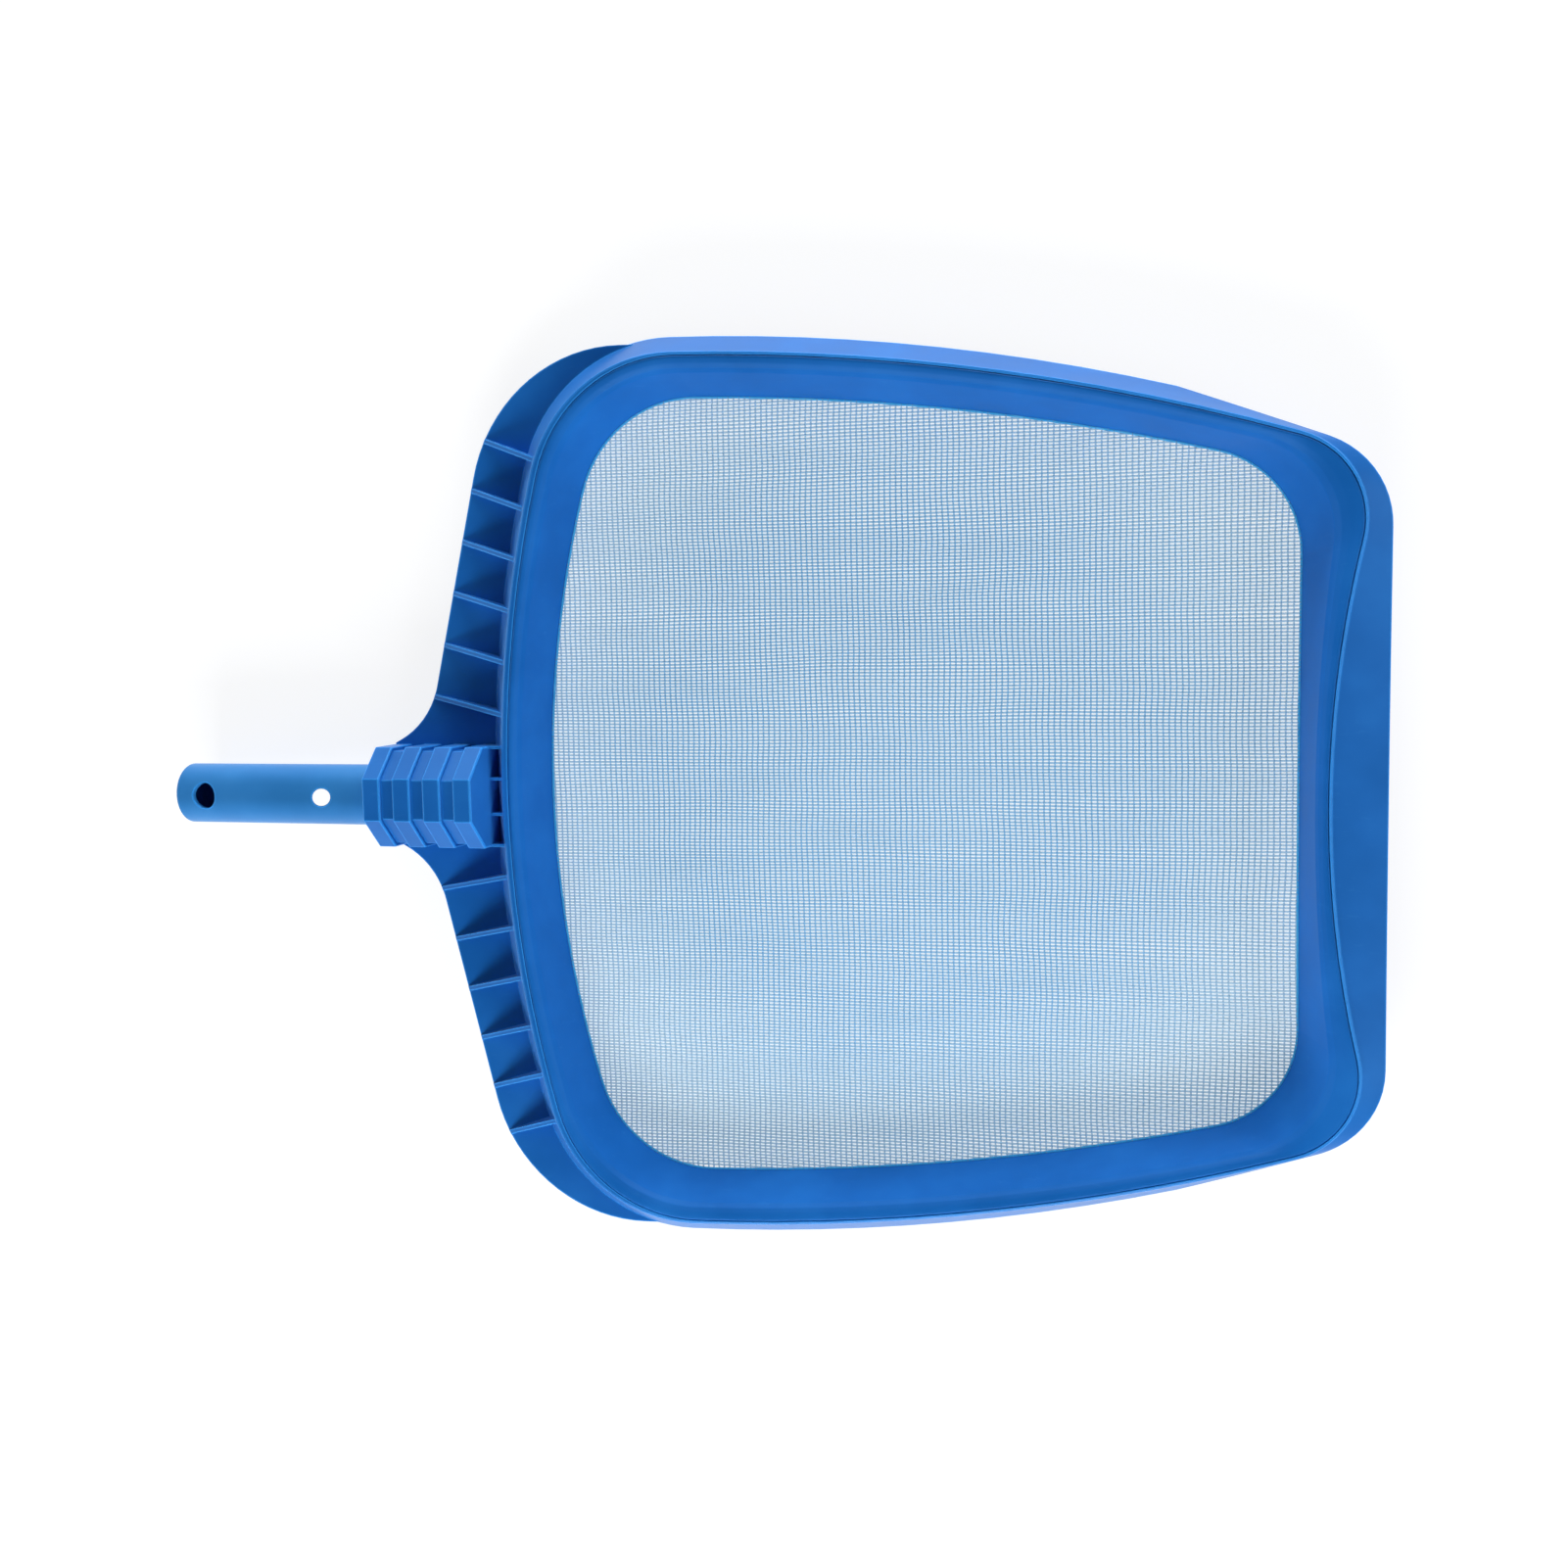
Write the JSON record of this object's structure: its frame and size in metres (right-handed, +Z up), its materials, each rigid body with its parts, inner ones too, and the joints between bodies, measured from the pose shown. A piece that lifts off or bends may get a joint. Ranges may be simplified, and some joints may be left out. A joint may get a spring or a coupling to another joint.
{
  "type": "leaf skimmer net",
  "caption": "Flat pool skimmer head: a D-shaped moulded frame with sloping lip, ribbed rear flange and octagonal socket, a drop-in basket ring that clamps fine mesh, and a round handle tube.",
  "frame": {"origin": "centre of the bounding box in plan, at the level of the ledge's underside on which the head rests", "axes": "+X from the handle tube to the front lip, +Z up, out of the open side of the basket"},
  "size_m": [0.5429, 0.401, 0.0486],
  "materials": {
    "frame_plastic": "satin moulded, blue",
    "ring_plastic": "satin moulded, blue",
    "mesh": "fine woven plastic thread, light blue",
    "tube_plastic": "satin, lighter blue"
  },
  "bodies": {
    "root": {"frame": "frame_plastic", "basket_ring": "ring_plastic", "net": "mesh", "handle_tube": "tube_plastic"}
  },
  "joints": []
}
